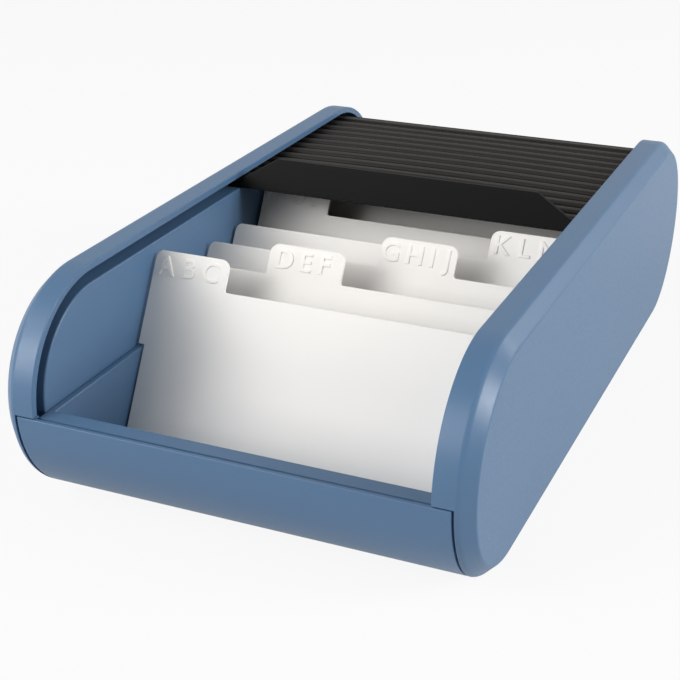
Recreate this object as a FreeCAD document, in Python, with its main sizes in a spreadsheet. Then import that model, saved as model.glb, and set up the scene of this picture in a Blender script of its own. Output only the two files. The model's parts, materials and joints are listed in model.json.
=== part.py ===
import FreeCAD, Part

import math
import os

import Sketcher
from FreeCAD import Vector

# Business card box with a roller shutter.
# Millimetres. +X is the right side, +Y is the rear, +Z is up.
# The origin is the middle of the rectangle that the box stands on.

# Driving dimensions
SIZES = [
    ("box_width", 136.0, "across the outer faces of both cheeks"),
    ("box_length", 240.0, "front to rear"),
    ("case_height", 67.0, "height of the cheeks, whose ends are half circles"),
    ("foot_proud", 0.6, "how far the feet lift the case"),
    ("cheek_depth", 10.6, "thickness of a cheek at its rim"),
    ("cheek_plate", 2.0, "wall of a cheek's outer face"),
    ("cheek_chamfer", 3.7, "bevel round a cheek's outer face"),
    ("shell_wall", 3.2, "wall of the base shell and of a cheek's rim"),
    ("seam_width", 0.9, "open joint between base shell and cheek"),
    ("seam_inset", 4.35, "from a cheek's outer face to the shoulder at the seam"),
    ("top_seam", 0.25, "open joint between the shell's top edge and the rim"),
    ("track_gap", 2.6, "height of the slot that guides the shutter"),
    ("liner_wall", 1.5, "plate of a liner"),
    ("track_wall", 1.6, "ring round a liner, under the shutter's edge"),
    ("fit_gap", 0.1, "clearance where two fixed mouldings meet"),
    ("tray_wall", 1.6, "floor, front and rear wall of the card tray"),
    ("ledge_width", 2.2, "side wall of the card tray, whose top is the ledge"),
    ("tray_drop", 0.5, "card tray's rim below the shell's top edge"),
    ("flange_reach", 3.7, "front flange of the tray, out over the slot"),
    ("flange_wall", 1.4, "thickness of that flange"),
    ("lip_groove", 0.8, "groove between the flange and the shell's lip"),
    ("peg_diameter", 5.0, "pegs that locate tray and liners in the cheeks"),
    ("peg_reach", 3.9, "how far a peg enters its boss"),
    ("boss_wall", 2.0, "wall of a boss round its peg"),
    ("peg_clearance", 0.05, "round a peg, on the radius"),
    ("tray_peg_height", 20.0, "tray pegs above the case's underside"),
    ("tray_peg_inner", 25.0, "inner tray pegs from the middle"),
    ("tray_peg_outer", 70.0, "outer tray pegs from the middle"),
    ("liner_peg_height", 46.0, "liner pegs above the case's underside"),
    ("liner_peg_from_middle", 48.0, "liner pegs from the middle"),
    ("tongue_wall", 1.2, "tongue of the base shell in the cheek"),
    ("tongue_reach", 2.6, "how far the tongue stands out"),
    ("tongue_length", 150.0, "front to rear"),
    ("foot_diameter", 12.0, "rubber foot"),
    ("foot_recess", 1.0, "depth of a foot's seat"),
    ("foot_side", 46.0, "feet from the middle, sideways"),
    ("foot_along", 72.0, "feet from the middle, front to rear"),
    ("foot_fillet", 0.4, "rounded edge of a foot"),
    ("sheet_edge_gap", 4.0, "between the shutter sheet's edge and a cheek's plate"),
    ("sheet_wall", 1.0, "shutter sheet between the ribs"),
    ("sheet_clearance", 0.2, "above and below the sheet in the slot"),
    ("rib_height", 1.2, "ribs of the shutter above the sheet"),
    ("rib_width", 3.9, "width of a rib along the travel"),
    ("rib_pitch", 6.3, "from rib to rib along the travel"),
    ("return_length", 104.0, "sheet on the lower run with the shutter as seen"),
    ("handle_front", 3.2, "foot of the leading bar's front face"),
    ("bar_depth", 7.5, "leading bar, front to rear"),
    ("fin_wall", 1.6, "grip fin"),
    ("fin_rise", 8.6, "grip fin above the leading bar"),
    ("fin_lean", 15.0, "degrees that the fin leans back"),
    ("fin_clearance", 0.4, "between the fin's foot and the rims"),
    ("fin_corner_side", 12.0, "cut corner of the fin, across"),
    ("fin_corner_rise", 8.4, "cut corner of the fin, down"),
    ("divider_wall", 0.9, "index divider"),
    ("divider_lean", 30.0, "degrees that the dividers lean back"),
    ("divider_height", 48.6, "from the foot's centre to the divider's top edge"),
    ("tab_height", 9.7, "index tab above the top edge"),
    ("tab_gap", 4.4, "sideways, between one tab and the next"),
    ("tab_corner", 3.0, "rounded corners of tabs and dividers"),
    ("divider_side_gap", 0.9, "between a divider's upper part and the liner"),
    ("divider_foot_gap", 0.6, "between a divider's lower part and the tray"),
    ("shoulder_gap", 0.4, "between a divider's shoulder and the ledge"),
    ("first_foot", -81.0, "foot of the front divider, front to rear"),
    ("divider_pitch", 18.5, "from foot to foot"),
    ("foot_slot_gap", 0.5, "below a divider's foot and behind it"),
    ("rest_height", 8.0, "ridge that a divider leans on"),
    ("rest_top", 1.4, "flat on top of that ridge"),
    ("toe_height", 1.6, "low ridge in front of a divider's foot"),
    ("toe_width", 1.2, "width of that ridge"),
    ("toe_gap", 0.8, "between a divider's foot and the low ridge"),
]

DIVIDER_COUNT = 8
TAB_PLACES = 4

# Sizes worked out from the driving dimensions, as expressions on the sheet
HALF_WIDTH = "Sizes.box_width / 2"
HALF_LENGTH = "Sizes.box_length / 2"
MID_HEIGHT = "Sizes.case_height / 2"
RIM_FACE = f"({HALF_WIDTH} - Sizes.cheek_depth)"
SHOULDER = f"({HALF_WIDTH} - Sizes.seam_inset)"
SHELL_END = f"({SHOULDER} - Sizes.seam_width)"
PLATE_FACE = f"({HALF_WIDTH} - Sizes.cheek_plate)"
SHEET_WIDTH = f"(2 * ({PLATE_FACE} - Sizes.sheet_edge_gap))"
LINER_BACK = f"({RIM_FACE} + Sizes.liner_wall)"
TRACK_OUTSET = "(Sizes.shell_wall + Sizes.track_gap)"
TRACK_INSET = f"({TRACK_OUTSET} + Sizes.track_wall)"
TRAY_INSET = f"({TRACK_OUTSET} + Sizes.tray_wall)"
TRAY_SIDE = f"({RIM_FACE} - Sizes.fit_gap)"
TRAY_INSIDE = f"({TRAY_SIDE} - Sizes.ledge_width)"
TRAY_RIM = f"({MID_HEIGHT} - Sizes.tray_drop)"
PEG_BORE = "(Sizes.peg_diameter / 2 + Sizes.peg_clearance)"
RIB_INSET = "(Sizes.shell_wall + Sizes.sheet_clearance)"
SHEET_UNDER = f"(Sizes.case_height - {TRACK_OUTSET} + Sizes.sheet_clearance)"
SHEET_TOP = f"({SHEET_UNDER} + Sizes.sheet_wall)"
CURVE_CENTRE = f"({HALF_LENGTH} - {MID_HEIGHT})"
HANDLE_BACK = "(Sizes.handle_front + Sizes.bar_depth)"
FOOT_CENTRE = f"({TRAY_INSET} + Sizes.foot_slot_gap + Sizes.divider_wall / 2)"
LEAN = "(Sizes.divider_lean * 1 deg)"
FIN_LEAN = "(Sizes.fin_lean * 1 deg)"
BEYOND = "Sizes.box_length"


def make_sheet(doc):
    """The sheet that holds the driving dimensions."""
    sheet = doc.addObject("Spreadsheet::Sheet", "Sizes")
    for row, (alias, value, note) in enumerate(SIZES, start=1):
        sheet.set(f"A{row}", alias)
        sheet.set(f"B{row}", str(value))
        sheet.set(f"C{row}", note)
        sheet.setAlias(f"B{row}", alias)
    doc.recompute()
    return sheet


def number(expression):
    """The present value of an expression on the sheet."""
    value = sheet.evalExpression(expression)
    return float(getattr(value, "Value", value))


def add_body(label, height="Sizes.foot_proud"):
    """A body that stands on the feet, like all the case's mouldings."""
    body = doc.addObject("PartDesign::Body", label)
    body.Label = label
    body.setExpression("Placement", f"placement(vector(0; 0; {height}); rotation(vector(0; 0; 1); 0))")
    return body


def turn_half(body):
    """Turns a body half round the upright axis, for the left side."""
    half_turn = "rotation(vector(0; 0; 1); 180)"
    body.setExpression("Placement", f"placement(vector(0; 0; Sizes.foot_proud); {half_turn})")


def add_sketch(body, name, role, offset="0", across="0", up="0"):
    """A sketch on one of the body's origin planes, moved along its normal and in its plane."""
    sketch = body.newObject("Sketcher::SketchObject", name)
    planes = {feature.Role: feature for feature in body.Origin.OriginFeatures}
    sketch.AttachmentSupport = [(planes[role], "")]
    sketch.MapMode = "FlatFace"
    sketch.setExpression(".AttachmentOffset.Base.x", across)
    sketch.setExpression(".AttachmentOffset.Base.y", up)
    sketch.setExpression(".AttachmentOffset.Base.z", offset)
    return sketch


def hold_point(sketch, geometry, end, x, y):
    """Ties one point of a sketch to its origin by two bound distances."""
    for kind, expression in (("DistanceX", x), ("DistanceY", y)):
        index = sketch.addConstraint(
            Sketcher.Constraint(kind, -1, 1, geometry, end, number(expression))
        )
        sketch.setExpression(f"Constraints[{index}]", expression)


def hold_radius(sketch, geometry, expression):
    """Binds the radius of a circle or an arc."""
    index = sketch.addConstraint(Sketcher.Constraint("Radius", geometry, number(expression)))
    sketch.setExpression(f"Constraints[{index}]", expression)


def draw_polygon(sketch, corners):
    """A closed outline of straight lines through corners given as expressions."""
    first = sketch.GeometryCount
    points = [Vector(number(x), number(y), 0) for x, y in corners]
    count = len(points)
    for index, point in enumerate(points):
        sketch.addGeometry(Part.LineSegment(point, points[(index + 1) % count]), False)
    for index in range(count):
        following = first + (index + 1) % count
        sketch.addConstraint(Sketcher.Constraint("Coincident", first + index, 2, following, 1))
    for index, (x, y) in enumerate(corners):
        hold_point(sketch, first + index, 1, x, y)


def draw_rectangle(sketch, left, right, bottom, top):
    """A rectangle between four expressions."""
    draw_polygon(sketch, [(left, bottom), (right, bottom), (right, top), (left, top)])


def draw_circle(sketch, x, y, radius):
    """A circle with bound centre and radius."""
    circle = Part.Circle(Vector(number(x), number(y), 0), Vector(0, 0, 1), number(radius))
    index = sketch.addGeometry(circle, False)
    hold_point(sketch, index, 3, x, y)
    hold_radius(sketch, index, radius)


def draw_stadium(sketch, inset):
    """The case's side outline, two half circles joined by straight lines, drawn in by inset."""
    radius = f"{MID_HEIGHT} - {inset}"
    reach, middle, size = number(CURVE_CENTRE), number(MID_HEIGHT), number(radius)
    low, high, quarter = middle - size, middle + size, math.pi / 2
    axis = Vector(0, 0, 1)
    bottom = sketch.addGeometry(Part.LineSegment(Vector(-reach, low, 0), Vector(reach, low, 0)), False)
    rear_circle = Part.Circle(Vector(reach, middle, 0), axis, size)
    rear = sketch.addGeometry(Part.ArcOfCircle(rear_circle, -quarter, quarter), False)
    top = sketch.addGeometry(Part.LineSegment(Vector(reach, high, 0), Vector(-reach, high, 0)), False)
    front_circle = Part.Circle(Vector(-reach, middle, 0), axis, size)
    front = sketch.addGeometry(Part.ArcOfCircle(front_circle, quarter, 3 * quarter), False)
    sketch.addConstraint(Sketcher.Constraint("Tangent", bottom, 2, rear, 1))
    sketch.addConstraint(Sketcher.Constraint("Tangent", rear, 2, top, 1))
    sketch.addConstraint(Sketcher.Constraint("Tangent", top, 2, front, 1))
    sketch.addConstraint(Sketcher.Constraint("Tangent", front, 2, bottom, 1))
    hold_point(sketch, rear, 3, CURVE_CENTRE, MID_HEIGHT)
    hold_point(sketch, front, 3, f"-{CURVE_CENTRE}", MID_HEIGHT)
    hold_radius(sketch, rear, radius)
    sketch.addConstraint(Sketcher.Constraint("Equal", rear, front))


def add_pad(body, sketch, length, reverse=False, symmetric=False):
    """Adds material from a sketch."""
    pad = body.newObject("PartDesign::Pad", f"{sketch.Name}_pad")
    pad.Profile = sketch
    pad.SideType = "Symmetric" if symmetric else "One side"
    pad.Reversed = reverse
    pad.setExpression("Length", length)
    doc.recompute()
    return pad


def add_pocket(body, sketch, length, reverse=False, symmetric=False):
    """Takes material away along a sketch, and makes sure that some was taken."""
    before = body.Shape.Volume
    pocket = body.newObject("PartDesign::Pocket", f"{sketch.Name}_pocket")
    pocket.Profile = sketch
    pocket.SideType = "Symmetric" if symmetric else "One side"
    pocket.Reversed = reverse
    pocket.setExpression("Length", length)
    doc.recompute()
    if not body.Shape.Volume < before:
        raise RuntimeError(f"{pocket.Name} takes nothing away")
    return pocket


def edges_where(shape, test):
    """Names of the edges whose vertices all pass a test."""
    return [
        f"Edge{index}"
        for index, edge in enumerate(shape.Edges, start=1)
        if all(test(vertex.Point) for vertex in edge.Vertexes)
    ]


def add_dressing(body, kind, feature, names, size):
    """Fillets or chamfers named edges of a body's last feature."""
    dressing = body.newObject(f"PartDesign::{kind}", f"{feature.Name}_{kind.lower()}")
    dressing.Base = (feature, names)
    dressing.setExpression("Size" if kind == "Chamfer" else "Radius", size)
    doc.recompute()
    return dressing


def near(first, second, tolerance=0.01):
    """Whether two lengths are the same."""
    return abs(first - second) < tolerance


def peg_places():
    """Places of all pegs on a side, as front-to-rear and height expressions."""
    height = "Sizes.tray_peg_height"
    tray = [("Sizes.tray_peg_inner", height), ("Sizes.tray_peg_outer", height)]
    tray += [(f"-{y}", z) for y, z in tray]
    side = "Sizes.liner_peg_from_middle"
    liner = [(side, "Sizes.liner_peg_height"), (f"-{side}", "Sizes.liner_peg_height")]
    return tray, liner


def foot_places():
    """Name and place of each foot, as expressions across and along."""
    return [
        (f"foot_{along}_{side}", f"{x} * Sizes.foot_side", f"{y} * Sizes.foot_along")
        for along, y in (("front", -1), ("rear", 1))
        for side, x in (("left", -1), ("right", 1))
    ]


def make_base_shell():
    """Front panel, underside and rear panel in one moulding, open at the top and the ends."""
    body = add_body("base_shell")
    outline = add_sketch(body, "shell_outline", "YZ_Plane")
    draw_stadium(outline, "0")
    add_pad(body, outline, f"2 * {SHELL_END}", symmetric=True)
    inside = add_sketch(body, "shell_inside", "YZ_Plane")
    draw_stadium(inside, "Sizes.shell_wall")
    add_pocket(body, inside, BEYOND, symmetric=True)
    above = add_sketch(body, "shell_above", "YZ_Plane")
    draw_rectangle(above, f"-{BEYOND}", BEYOND, MID_HEIGHT, "2 * Sizes.case_height")
    add_pocket(body, above, BEYOND, symmetric=True)
    # rebate behind the front lip, for the tray's flange
    rebate = add_sketch(body, "lip_rebate", "XY_Plane", offset=MID_HEIGHT)
    lip = f"(-{HALF_LENGTH} + Sizes.shell_wall + Sizes.track_gap - Sizes.flange_reach - Sizes.lip_groove)"
    side = f"({TRAY_SIDE} + Sizes.top_seam)"
    draw_rectangle(rebate, f"-{side}", side, lip, f"{lip} + 2 * Sizes.flange_reach")
    depth = "Sizes.tray_drop + Sizes.flange_wall + Sizes.fit_gap"
    add_pocket(body, rebate, depth)
    # tongues that enter both cheeks
    tongue = add_sketch(body, "shell_tongue", "YZ_Plane")
    half = "Sizes.tongue_length / 2"
    low = "(Sizes.shell_wall - Sizes.tongue_wall) / 2"
    draw_rectangle(tongue, f"-{half}", half, low, f"{low} + Sizes.tongue_wall")
    add_pad(body, tongue, f"2 * ({SHELL_END} + Sizes.tongue_reach)", symmetric=True)
    # seats of the feet
    seats = add_sketch(body, "foot_seats", "XY_Plane")
    for _, x, y in foot_places():
        draw_circle(seats, x, y, "Sizes.foot_diameter / 2 + Sizes.fit_gap")
    add_pocket(body, seats, "Sizes.foot_recess", reverse=True)
    return body


def make_cheek(label):
    """End cap: plate, rim all round, bosses for the pegs, and the lower rim cut back for the shell."""
    body = add_body(label)
    outline = add_sketch(body, f"{label}_outline", "YZ_Plane", offset=RIM_FACE)
    draw_stadium(outline, "0")
    pad = add_pad(body, outline, "Sizes.cheek_depth")
    face = number(HALF_WIDTH)
    rim_edges = edges_where(body.Shape, lambda p: near(p.x, face))
    add_dressing(body, "Chamfer", pad, rim_edges, "Sizes.cheek_chamfer")
    hollow = add_sketch(body, f"{label}_hollow", "YZ_Plane", offset=PLATE_FACE)
    draw_stadium(hollow, "Sizes.shell_wall")
    add_pocket(body, hollow, "Sizes.cheek_depth")
    # shoulder that the shell's end runs up to
    shoulder = add_sketch(body, f"{label}_shoulder", "YZ_Plane", offset=SHOULDER)
    top = f"{MID_HEIGHT} + Sizes.top_seam"
    draw_rectangle(shoulder, f"-{BEYOND}", BEYOND, "-Sizes.shell_wall", top)
    add_pocket(body, shoulder, "Sizes.cheek_depth")
    # groove for the shell's tongue
    groove = add_sketch(body, f"{label}_groove", "YZ_Plane", offset=SHOULDER)
    half = "(Sizes.tongue_length / 2 + Sizes.fit_gap)"
    low = "(Sizes.shell_wall - Sizes.tongue_wall) / 2"
    draw_rectangle(groove, f"-{half}", half, f"{low} - Sizes.fit_gap",
                   f"{low} + Sizes.tongue_wall + Sizes.fit_gap")
    add_pocket(body, groove, "Sizes.tongue_reach - Sizes.seam_width + Sizes.fit_gap", reverse=True)
    tray_pegs, liner_pegs = peg_places()
    bosses = add_sketch(body, f"{label}_bosses", "YZ_Plane", offset=PLATE_FACE)
    for y, z in tray_pegs + liner_pegs:
        draw_circle(bosses, y, z, f"{PEG_BORE} + Sizes.boss_wall")
    length = f"{PLATE_FACE} - {LINER_BACK} - Sizes.fit_gap"
    add_pad(body, bosses, length, reverse=True)
    bores = add_sketch(body, f"{label}_bores", "YZ_Plane", offset=f"{LINER_BACK} + Sizes.fit_gap")
    for y, z in tray_pegs + liner_pegs:
        draw_circle(bores, y, z, PEG_BORE)
    add_pocket(body, bores, "Sizes.peg_reach + Sizes.fit_gap", reverse=True)
    return body


def make_liner(label):
    """Inner side wall: a flat plate with a ring that carries the shutter's edge, and two pegs."""
    body = add_body(label)
    outline = add_sketch(body, f"{label}_outline", "YZ_Plane", offset=RIM_FACE)
    draw_stadium(outline, TRACK_OUTSET)
    add_pad(body, outline, f"{PLATE_FACE} - Sizes.fit_gap - {RIM_FACE}")
    hollow = add_sketch(body, f"{label}_hollow", "YZ_Plane", offset=LINER_BACK)
    draw_stadium(hollow, TRACK_INSET)
    add_pocket(body, hollow, "Sizes.cheek_depth", reverse=True)
    tray_pegs, liner_pegs = peg_places()
    pegs = add_sketch(body, f"{label}_pegs", "YZ_Plane", offset=LINER_BACK)
    for y, z in liner_pegs:
        draw_circle(pegs, y, z, "Sizes.peg_diameter / 2")
    add_pad(body, pegs, "Sizes.peg_reach")
    holes = add_sketch(body, f"{label}_holes", "YZ_Plane", offset=RIM_FACE)
    for y, z in tray_pegs:
        draw_circle(holes, y, z, PEG_BORE)
    add_pocket(body, holes, "Sizes.liner_wall", reverse=True)
    return body


def make_card_tray():
    """Open tray whose outside is the drum that the shutter wraps, with ridges for the dividers."""
    body = add_body("card_tray")
    outline = add_sketch(body, "tray_outline", "YZ_Plane")
    draw_stadium(outline, TRACK_OUTSET)
    add_pad(body, outline, f"2 * {TRAY_SIDE}", symmetric=True)
    inside = add_sketch(body, "tray_inside", "YZ_Plane")
    draw_stadium(inside, TRAY_INSET)
    add_pocket(body, inside, f"2 * {TRAY_INSIDE}", symmetric=True)
    above = add_sketch(body, "tray_above", "YZ_Plane")
    draw_rectangle(above, f"-{BEYOND}", BEYOND, TRAY_RIM, "2 * Sizes.case_height")
    add_pocket(body, above, BEYOND, symmetric=True)
    # flange that closes the slot in front and lies in the shell's rebate
    flange = add_sketch(body, "tray_flange", "YZ_Plane")
    front = f"(-{HALF_LENGTH} + {TRACK_OUTSET})"
    draw_rectangle(flange, f"{front} - Sizes.flange_reach", f"{front} + Sizes.tray_wall",
                   f"{TRAY_RIM} - Sizes.flange_wall", TRAY_RIM)
    add_pad(body, flange, f"2 * {TRAY_SIDE}", symmetric=True)
    add_divider_ridges(body)
    tray_pegs, _ = peg_places()
    for name, offset, reverse in (("right", TRAY_SIDE, False), ("left", f"-{TRAY_SIDE}", True)):
        pegs = add_sketch(body, f"tray_pegs_{name}", "YZ_Plane", offset=offset)
        for y, z in tray_pegs:
            draw_circle(pegs, y, z, "Sizes.peg_diameter / 2")
        add_pad(body, pegs, f"{LINER_BACK} - {TRAY_SIDE} + Sizes.peg_reach", reverse=reverse)
    return body


def add_divider_ridges(body):
    """For each divider a ridge that it leans on and a low one that keeps its foot in place."""
    floor = TRAY_INSET
    inside_floor = f"({floor} - Sizes.tray_wall / 2)"
    rest_top = f"({floor} + Sizes.rest_height)"
    back = f"(Sizes.divider_wall / 2 + Sizes.foot_slot_gap) / cos{LEAN}"

    def rest_face(height):
        return f"(Sizes.first_foot + {back} + ({height} - {FOOT_CENTRE}) * tan{LEAN})"

    ridges = add_sketch(body, "divider_ridges", "YZ_Plane")
    rear = f"{rest_face(rest_top)} + Sizes.rest_top"
    corners = [(rest_face(inside_floor), inside_floor), (rear, inside_floor), (rear, rest_top)]
    draw_polygon(ridges, corners + [(rest_face(rest_top), rest_top)])
    toe = "(Sizes.first_foot - Sizes.divider_wall / 2 - Sizes.toe_gap)"
    draw_rectangle(ridges, f"{toe} - Sizes.toe_width", toe, inside_floor, f"{floor} + Sizes.toe_height")
    pad = add_pad(body, ridges, f"2 * {TRAY_INSIDE} + Sizes.ledge_width", symmetric=True)
    row = body.newObject("PartDesign::LinearPattern", "ridge_row")
    row.Originals = [pad]
    row.Direction = (ridges, ["H_Axis"])
    row.Occurrences = DIVIDER_COUNT
    row.setExpression("Length", f"{DIVIDER_COUNT - 1} * Sizes.divider_pitch")
    body.Tip = row
    doc.recompute()


def make_divider(place):
    """Index divider: narrow below the ledge, wide above it, with one tab, leaning back."""
    label = f"divider_{place + 1}"
    body = doc.addObject("PartDesign::Body", label)
    body.Label = label
    foot = f"Sizes.first_foot + {place} * Sizes.divider_pitch"
    lean = "rotation(vector(1; 0; 0); -Sizes.divider_lean)"
    place_at = f"vector(0; {foot}; {FOOT_CENTRE} + Sizes.foot_proud)"
    body.setExpression("Placement", f"placement({place_at}; {lean})")
    lower = f"({TRAY_INSIDE} - Sizes.divider_foot_gap)"
    upper = f"({RIM_FACE} - Sizes.divider_side_gap)"
    shoulder = f"(({TRAY_RIM} + Sizes.shoulder_gap - {FOOT_CENTRE}) / cos{LEAN})"
    foot_edge = "-Sizes.divider_wall / 2"
    height = "Sizes.divider_height"
    tab_width = f"((2 * {upper} - {TAB_PLACES - 1} * Sizes.tab_gap) / {TAB_PLACES})"
    column = place % TAB_PLACES
    left = f"(-{upper} + {column} * ({tab_width} + Sizes.tab_gap))"
    right = f"({left} + {tab_width})"
    top = f"({height} + Sizes.tab_height)"
    corners = [(f"-{upper}", shoulder), (f"-{lower}", shoulder), (f"-{lower}", foot_edge)]
    corners += [(lower, foot_edge), (lower, shoulder), (upper, shoulder)]
    rounded = [(right, top), (left, top)]
    if column < TAB_PLACES - 1:
        corners += [(upper, height), (right, height)]
        rounded.append((upper, height))
    corners += [(right, top), (left, top)]
    if column > 0:
        corners += [(left, height), (f"-{upper}", height)]
        rounded.append((f"-{upper}", height))
    outline = add_sketch(body, f"{label}_outline", "XZ_Plane")
    draw_polygon(outline, corners)
    pad = add_pad(body, outline, "Sizes.divider_wall", symmetric=True)
    names = []
    for x, z in [(number(x), number(z)) for x, z in rounded]:
        names += edges_where(pad.Shape, lambda p: near(p.x, x) and near(p.z, z))
    add_dressing(body, "Fillet", pad, names, "Sizes.tab_corner")
    return body


def make_handle():
    """The shutter's leading bar with its grip fin, whose two upper corners are cut."""
    body = add_body("shutter_handle")
    under, top = SHEET_UNDER, f"({SHEET_TOP} + Sizes.rib_height)"
    slope = f"tan{FIN_LEAN}"
    front_top = f"(Sizes.handle_front + ({top} - {under}) * {slope})"
    bar = add_sketch(body, "leading_bar", "YZ_Plane")
    draw_polygon(bar, [("Sizes.handle_front", under), (HANDLE_BACK, under), (HANDLE_BACK, top),
                       (front_top, top)])
    add_pad(body, bar, SHEET_WIDTH, symmetric=True)
    fin = add_sketch(body, "grip_fin", "YZ_Plane")
    edge = f"({top} + Sizes.fin_rise)"
    front_edge = f"(Sizes.handle_front + ({edge} - {under}) * {slope})"
    wall = f"Sizes.fin_wall / cos{FIN_LEAN}"
    draw_polygon(fin, [("Sizes.handle_front", under), (f"Sizes.handle_front + {wall}", under),
                       (f"{front_edge} + {wall}", edge), (front_edge, edge)])
    half = f"({RIM_FACE} - Sizes.fin_clearance)"
    add_pad(body, fin, f"2 * {half}", symmetric=True)
    corners = add_sketch(body, "fin_corners", "XZ_Plane")
    for side in ("", "-"):
        inner = f"{side}({half} - Sizes.fin_corner_side)"
        outer = f"{side}({half} + Sizes.fin_clearance)"
        run = f"{side}{half}"
        low = f"{edge} - Sizes.fin_corner_rise"
        high = f"{edge} + Sizes.fin_clearance"
        draw_polygon(corners, [(inner, edge), (run, low), (outer, low), (outer, high), (inner, high)])
    add_pocket(body, corners, BEYOND, symmetric=True)
    return body


def make_top_run():
    """The shutter sheet on its straight upper run, from the handle to the rear curve."""
    body = add_body("shutter_top_run")
    end = f"({CURVE_CENTRE} - Sizes.fit_gap)"
    band = add_sketch(body, "top_band", "YZ_Plane")
    draw_rectangle(band, HANDLE_BACK, end, SHEET_UNDER, SHEET_TOP)
    add_pad(body, band, SHEET_WIDTH, symmetric=True)
    rib = add_sketch(body, "top_rib", "YZ_Plane")
    first = f"({end} - Sizes.rib_pitch)"
    draw_rectangle(rib, first, f"{first} + Sizes.rib_width", f"{SHEET_TOP} - Sizes.sheet_wall / 2",
                   f"{SHEET_TOP} + Sizes.rib_height")
    pad = add_pad(body, rib, SHEET_WIDTH, symmetric=True)
    count = math.floor(number(f"({end} - {HANDLE_BACK}) / Sizes.rib_pitch"))
    add_ribs(body, "LinearPattern", "top_ribs", pad, (rib, ["H_Axis"]), count, "Length",
             "Sizes.rib_pitch")
    return body


def make_return_run():
    """The same sheet round the rear curve and forward under the tray, ribs outward."""
    body = add_body("shutter_return_run")
    sheet_inset = f"({RIB_INSET} + Sizes.rib_height)"
    band = add_sketch(body, "return_band", "YZ_Plane")
    draw_stadium(band, sheet_inset)
    add_pad(body, band, SHEET_WIDTH, symmetric=True)
    core = add_sketch(body, "return_core", "YZ_Plane")
    draw_stadium(core, f"({sheet_inset} + Sizes.sheet_wall)")
    add_pocket(body, core, BEYOND, symmetric=True)
    front = add_sketch(body, "return_front", "YZ_Plane")
    tail = f"({CURVE_CENTRE} - Sizes.return_length)"
    draw_polygon(front, [(f"-{BEYOND}", f"-{BEYOND}"), (tail, f"-{BEYOND}"), (tail, MID_HEIGHT),
                         (CURVE_CENTRE, MID_HEIGHT), (CURVE_CENTRE, BEYOND), (f"-{BEYOND}", BEYOND)])
    add_pocket(body, front, BEYOND, symmetric=True)
    root_inset = f"({sheet_inset} + Sizes.sheet_wall / 2)"
    # ribs round the curve, from just past its upper end
    curve = add_sketch(body, "curve_rib", "YZ_Plane", across=CURVE_CENTRE, up=MID_HEIGHT)
    outer, root = f"({MID_HEIGHT} - {RIB_INSET})", f"({MID_HEIGHT} - {root_inset})"
    step = f"(Sizes.rib_pitch / {outer} * 180 / pi)"
    half = f"(Sizes.rib_width / {outer} * 90 / pi)"
    middle = f"(90 - {step} / 2)"
    low, high = f"(({middle} - {half}) * 1 deg)", f"(({middle} + {half}) * 1 deg)"
    draw_polygon(curve, [(f"{radius} * cos({angle})", f"{radius} * sin({angle})")
                         for radius, angle in ((root, high), (root, low), (outer, low), (outer, high))])
    first = add_pad(body, curve, SHEET_WIDTH, symmetric=True)
    count = math.floor(number(f"180 / {step}"))
    add_ribs(body, "PolarPattern", "curve_ribs", first, (curve, ["N_Axis"]), count, "Angle", step)
    # ribs on the lower run
    lower = add_sketch(body, "lower_rib", "YZ_Plane")
    front_edge = f"({CURVE_CENTRE} - Sizes.rib_pitch)"
    draw_rectangle(lower, front_edge, f"{front_edge} + Sizes.rib_width", RIB_INSET, root_inset)
    first = add_pad(body, lower, SHEET_WIDTH, symmetric=True)
    count = math.floor(number("Sizes.return_length / Sizes.rib_pitch"))
    add_ribs(body, "LinearPattern", "lower_ribs", first, (lower, ["H_Axis"]), count, "Length",
             "Sizes.rib_pitch")
    return body


def add_ribs(body, kind, name, first, direction, count, extent, pitch):
    """Repeats a rib away from the handle, along a line or round the curve."""
    row = body.newObject(f"PartDesign::{kind}", name)
    row.Originals = [first]
    setattr(row, "Axis" if kind == "PolarPattern" else "Direction", direction)
    row.Reversed = True
    row.Occurrences = count
    row.setExpression(extent, f"{count - 1} * {pitch}")
    body.Tip = row
    doc.recompute()


def make_foot(label, x, y):
    """Rubber foot: a disc with a rounded lower edge, in its seat in the shell."""
    body = add_body(label, height="0")
    disc = add_sketch(body, f"{label}_disc", "XY_Plane")
    draw_circle(disc, x, y, "Sizes.foot_diameter / 2")
    pad = add_pad(body, disc, "Sizes.foot_proud + Sizes.foot_recess")
    names = edges_where(pad.Shape, lambda p: near(p.z, 0))
    add_dressing(body, "Fillet", pad, names, "Sizes.foot_fillet")
    return body


def check(bodies):
    """Stops on any feature that failed and on any body without a valid solid."""
    doc.recompute()
    for feature in doc.Objects:
        if any(word in feature.State for word in ("Invalid", "Error")):
            raise RuntimeError(f"{feature.Name}: {feature.State}")
    for body in bodies:
        shape = body.Shape
        if shape.isNull() or not shape.isValid() or len(shape.Solids) != 1:
            raise RuntimeError(f"{body.Label} is not one valid solid")


doc = FreeCAD.newDocument("business_card_box")
sheet = make_sheet(doc)
right_cheek = make_cheek("right_cheek")
left_cheek = make_cheek("left_cheek")
right_liner = make_liner("right_liner")
left_liner = make_liner("left_liner")
turn_half(left_cheek)
turn_half(left_liner)
parts = [make_base_shell(), make_card_tray(), left_cheek, right_cheek, left_liner, right_liner]
parts += [make_handle(), make_top_run(), make_return_run()]
parts += [make_divider(place) for place in range(DIVIDER_COUNT)]
parts += [make_foot(label, x, y) for label, x, y in foot_places()]
check(parts)
os.makedirs("parts", exist_ok=True)
for part in parts:
    part.Shape.exportStep(f"parts/{part.Label}.step")
    print(f"{part.Label}: {part.Shape.Volume:.0f} mm3")
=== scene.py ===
"""Looks of a desk box for business cards with a roller shutter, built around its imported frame. Metres."""

import json
import math

import bmesh
import bpy
from bpy.props import FloatProperty, FloatVectorProperty, PointerProperty
from bpy.types import Operator, Panel, PropertyGroup
from mathutils import Matrix, Vector


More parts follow.
